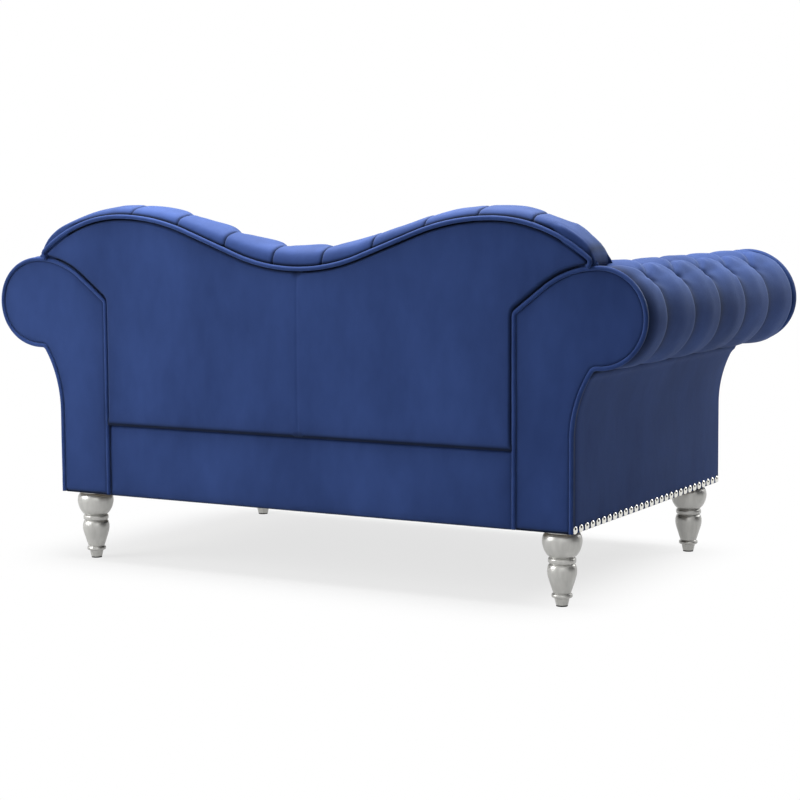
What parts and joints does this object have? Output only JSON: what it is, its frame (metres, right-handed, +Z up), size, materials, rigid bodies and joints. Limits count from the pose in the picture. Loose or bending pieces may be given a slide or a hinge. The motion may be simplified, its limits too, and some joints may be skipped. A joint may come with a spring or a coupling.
{
  "type": "loveseat",
  "caption": "Upholstered loveseat with a double-hump back, rolled tufted arms, piped edges, nailhead trim, loose seat cushions and turned legs.",
  "frame": {"origin": "on the floor, under the centre of the overall box", "axes": "+X to the right as seen from the front, +Y to the back (the front faces -Y), +Z up"},
  "size_m": [1.634, 0.894, 0.8171],
  "materials": {
    "velvet": "royal blue velvet with a soft nap",
    "frame_wood": "sawn plywood and pine",
    "silver_leg": "turned wood in satin silver paint",
    "nail_metal": "polished nickel",
    "steel": "zinc plated",
    "glide_plastic": "moulded",
    "dark_cloth": "non-woven dust cloth",
    "deck_cloth": "decking cloth over felt"
  },
  "bodies": {
    "frame": {"arm_pad_left": "velvet", "arm_pad_right": "velvet", "outside_arm_panel_left": "velvet", "outside_arm_panel_right": "velvet", "arm_back_facing_left": "velvet", "arm_back_facing_right": "velvet", "arm_front_facing_left": "velvet", "arm_front_facing_right": "velvet", "arm_front_cap_left": "velvet", "arm_front_cap_right": "velvet", "arm_back_welt_left": "velvet", "arm_back_welt_right": "velvet", "arm_front_welts": "velvet", "arm_buttons_left": "velvet", "arm_buttons_right": "velvet", "back_pad": "velvet", "outside_back_panel": "velvet", "back_welt": "velvet", "back_buttons": "velvet", "back_rail_cover": "velvet", "front_rail_cover": "velvet", "arm_front_board_left": "frame_wood", "arm_front_board_right": "frame_wood", "arm_back_board_left": "frame_wood", "arm_back_board_right": "frame_wood", "arm_base_board_left": "frame_wood", "arm_base_board_right": "frame_wood", "arm_rails_left": "frame_wood", "arm_rails_right": "frame_wood", "back_top_rail": "frame_wood", "back_bottom_rail": "frame_wood", "back_posts": "frame_wood", "back_dowels": "frame_wood", "seat_front_rail": "frame_wood", "seat_back_rail": "frame_wood", "seat_side_rail_left": "frame_wood", "seat_side_rail_right": "frame_wood", "seat_centre_rail": "frame_wood", "seat_corner_blocks": "frame_wood", "leg_back_left": "silver_leg", "leg_back_right": "silver_leg", "leg_front_left": "silver_leg", "leg_front_right": "silver_leg", "arm_nailheads_left": "nail_metal", "arm_nailheads_right": "nail_metal", "front_nailheads": "nail_metal", "seat_springs": "steel", "spring_clips": "steel", "arm_bolts": "steel", "back_brackets": "steel", "leg_bolts": "steel", "tee_nuts": "steel", "leg_glides": "glide_plastic", "dust_cover": "dark_cloth", "deck_pad": "deck_cloth"},
    "cushion_left": {"seat_cushion_left": "velvet", "seat_cushion_welts_left": "velvet"},
    "cushion_right": {"seat_cushion_right": "velvet", "seat_cushion_welts_right": "velvet"}
  },
  "joints": [
    {"name": "left_cushion_lift", "type": "slide", "parent": "frame", "child": "cushion_left", "axis": [0, 0, 1], "range_m": [0, 0.42]},
    {"name": "right_cushion_lift", "type": "slide", "parent": "frame", "child": "cushion_right", "axis": [0, 0, 1], "range_m": [0, 0.42]}
  ]
}
